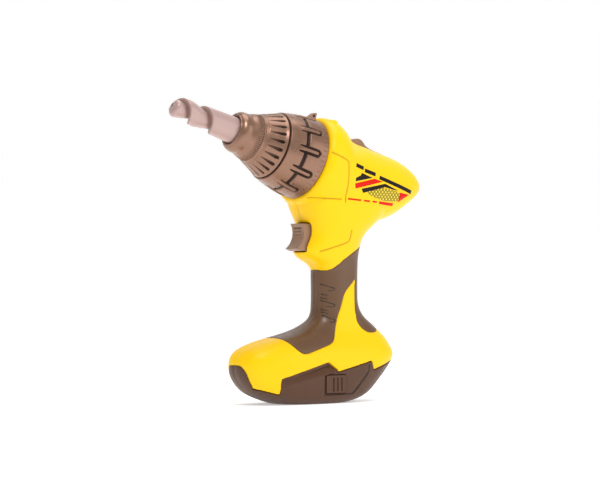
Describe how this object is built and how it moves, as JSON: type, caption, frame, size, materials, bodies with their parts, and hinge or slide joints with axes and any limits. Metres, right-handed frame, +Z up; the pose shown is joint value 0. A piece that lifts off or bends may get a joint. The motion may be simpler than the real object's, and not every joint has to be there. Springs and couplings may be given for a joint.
{
  "type": "toy cordless drill",
  "caption": "Moulded toy cordless drill with a spinning chuck and blunt spiral bit, torque collar, trigger, top selector and a pull-off wedge battery foot.",
  "frame": {"origin": "on the ground under the middle of the handle, in the plane where the two housing shells meet", "axes": "-Y the way the drill points, +X its left side, +Z up, standing on its battery foot"},
  "size_m": [0.0644, 0.2069, 0.2063],
  "materials": {
    "yellow_plastic": "satin moulded",
    "grip_rubber": "fine texture",
    "chuck_plastic": "metallic-look satin",
    "pack_plastic": "satin moulded",
    "bit_plastic": "satin",
    "trigger_plastic": "satin",
    "steel": "brushed",
    "zinc": "plated",
    "copper": "wound",
    "brass": "stamped",
    "white_nylon": "moulded",
    "black_plastic": "moulded",
    "cell_wrap": "printed film",
    "wire_red": "PVC"
  },
  "bodies": {
    "housing": {"left_housing": "yellow_plastic", "right_housing": "yellow_plastic", "left_grip": "grip_rubber", "right_grip": "grip_rubber", "housing_screws": "steel", "torque_pointer": "chuck_plastic", "detent_ring": "white_nylon", "collar_retainer": "black_plastic", "idler_pin": "steel", "gearbox_case": "black_plastic", "gearbox_plate": "black_plastic", "rear_bush": "brass", "front_bush": "brass", "motor_can": "zinc", "motor_end_cap": "white_nylon", "motor_tabs": "brass", "motor_magnets": "black_plastic", "trigger_spring": "steel", "switch_block": "black_plastic", "switch_leaf": "brass", "selector_switch": "black_plastic", "power_wires": "wire_red", "motor_wires": "wire_red", "terminal_block": "black_plastic", "terminal_blades": "brass"},
    "chuck": {"chuck_sleeve": "chuck_plastic", "chuck_nose": "chuck_plastic", "drill_bit": "bit_plastic", "spindle": "steel", "spindle_clip": "steel", "output_gear": "white_nylon"},
    "idler": {"idler_gear": "white_nylon"},
    "rotor": {"motor_pinion": "brass", "motor_shaft": "steel", "motor_armature": "copper", "motor_commutator": "brass"},
    "torque_collar": {"torque_collar": "chuck_plastic"},
    "trigger": {"trigger": "trigger_plastic"},
    "selector": {"selector_slider": "trigger_plastic"},
    "pack": {"battery_case": "pack_plastic", "battery_lid": "pack_plastic", "battery_door": "pack_plastic", "door_screw": "steel", "battery_cells": "cell_wrap", "cell_springs": "steel", "cell_contacts": "steel", "left_latch_spring": "steel", "right_latch_spring": "steel"},
    "left_latch": {"left_latch": "pack_plastic"},
    "right_latch": {"right_latch": "pack_plastic"}
  },
  "joints": [
    {"name": "chuck_spin", "type": "hinge", "parent": "housing", "child": "chuck", "pos_m": [0, -0.05738, 0.17784], "axis": [0, -0.9563, 0.2924], "continuous": true},
    {"name": "idler_spin", "type": "hinge", "parent": "housing", "child": "idler", "pos_m": [0, -0.01133, 0.15059], "axis": [0, -0.9563, 0.2924], "continuous": true},
    {"name": "rotor_spin", "type": "hinge", "parent": "housing", "child": "rotor", "pos_m": [0, 0.01373, 0.15391], "axis": [0, -0.9563, 0.2924], "continuous": true},
    {"name": "collar_turn", "type": "hinge", "parent": "housing", "child": "torque_collar", "pos_m": [0, -0.04016, 0.17258], "axis": [0, -0.9563, 0.2924], "range_deg": [-135, 135]},
    {"name": "trigger_pull", "type": "slide", "parent": "housing", "child": "trigger", "axis": [0, 1, 0], "range_m": [0, 0.005], "stiffness_N_per_m": 400, "springref_m": -0.003, "deforming": ["trigger_spring"]},
    {"name": "selector_slide", "type": "slide", "parent": "housing", "child": "selector", "axis": [0, 0.9563, -0.2924], "range_m": [0, 0.006]},
    {"name": "pack_release", "type": "slide", "parent": "housing", "child": "pack", "axis": [0, 0.2588, -0.9659], "range_m": [0, 0.04]},
    {"name": "left_latch_push", "type": "slide", "parent": "pack", "child": "left_latch", "axis": [-1, 0, 0], "range_m": [0, 0.0018], "stiffness_N_per_m": 300, "springref_m": -0.001, "deforming": ["left_latch_spring"]},
    {"name": "right_latch_push", "type": "slide", "parent": "pack", "child": "right_latch", "axis": [1, 0, 0], "range_m": [0, 0.0018], "stiffness_N_per_m": 300, "springref_m": -0.001, "deforming": ["right_latch_spring"]}
  ],
  "couplings": [
    {"joint": "idler_spin", "follows": "chuck_spin", "ratio": -2.5},
    {"joint": "rotor_spin", "follows": "chuck_spin", "ratio": 8}
  ]
}
